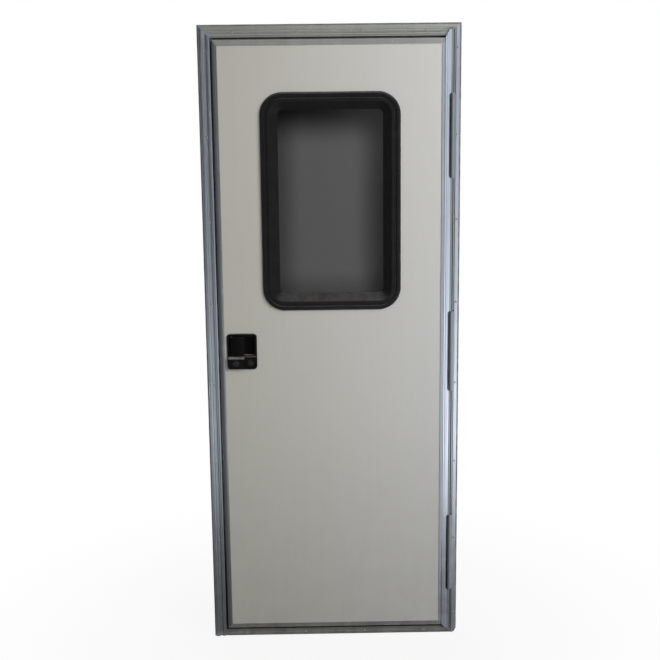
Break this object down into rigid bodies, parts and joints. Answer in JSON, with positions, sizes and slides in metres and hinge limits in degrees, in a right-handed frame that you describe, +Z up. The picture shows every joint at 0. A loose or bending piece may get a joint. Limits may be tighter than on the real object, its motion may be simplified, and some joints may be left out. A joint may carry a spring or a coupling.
{
  "type": "caravan entry door",
  "caption": "Hinged caravan entry door with a tinted window and a paddle latch, closed in a ridged aluminium jamb that screws into a wall opening.",
  "frame": {"origin": "on the back face of the sill flange, on the door's centre line, half way up that flange", "axes": "+X to the right seen from outside, +Y into the vehicle through the wall, +Z up"},
  "size_m": [0.764, 0.0705, 1.88],
  "materials": {
    "mill_aluminium": "mill finish, drawn lengthwise",
    "steel": "zinc plated",
    "rubber": "matt",
    "outer_fibreglass": "smooth off-white gel coat",
    "inner_panel": "off-white sheet",
    "foam": "foam, hidden",
    "black_plastic": "fine moulded grain",
    "tinted_glass": "dark tint",
    "lock_metal": "black plated"
  },
  "bodies": {
    "jamb": {"latch_jamb": "mill_aluminium", "hinge_jamb": "mill_aluminium", "head_jamb": "mill_aluminium", "sill_jamb": "mill_aluminium", "hinge_pin": "steel", "weather_seal": "rubber", "strike_plate": "steel"},
    "leaf": {"leaf_latch_stile": "mill_aluminium", "leaf_hinge_stile": "mill_aluminium", "leaf_top_rail": "mill_aluminium", "leaf_bottom_rail": "mill_aluminium", "paddle_pin": "steel", "latch_edge_plate": "steel", "latch_bolt": "steel", "deadbolt": "steel", "window_gasket": "rubber", "outer_skin": "outer_fibreglass", "inner_skin": "inner_panel", "foam_core": "foam", "window_outer_frame": "black_plastic", "window_inner_frame": "black_plastic", "latch_housing": "black_plastic", "inner_latch_plate": "black_plastic", "inner_lever": "black_plastic", "deadbolt_knob": "black_plastic", "window_glass": "tinted_glass", "key_cylinder": "lock_metal", "deadbolt_cylinder": "lock_metal"},
    "paddle": {"pull_paddle": "black_plastic"}
  },
  "joints": [
    {"name": "leaf_swing", "type": "hinge", "parent": "jamb", "child": "leaf", "pos_m": [0.357, -0.011, 0.9295], "axis": [0, 0, 1], "range_deg": [0, 170]},
    {"name": "paddle_pull", "type": "hinge", "parent": "leaf", "child": "paddle", "pos_m": [-0.306, -0.005, 0.928], "axis": [0, 0, -1], "range_deg": [0, 30], "stiffness_Nm_per_rad": 0.3}
  ]
}
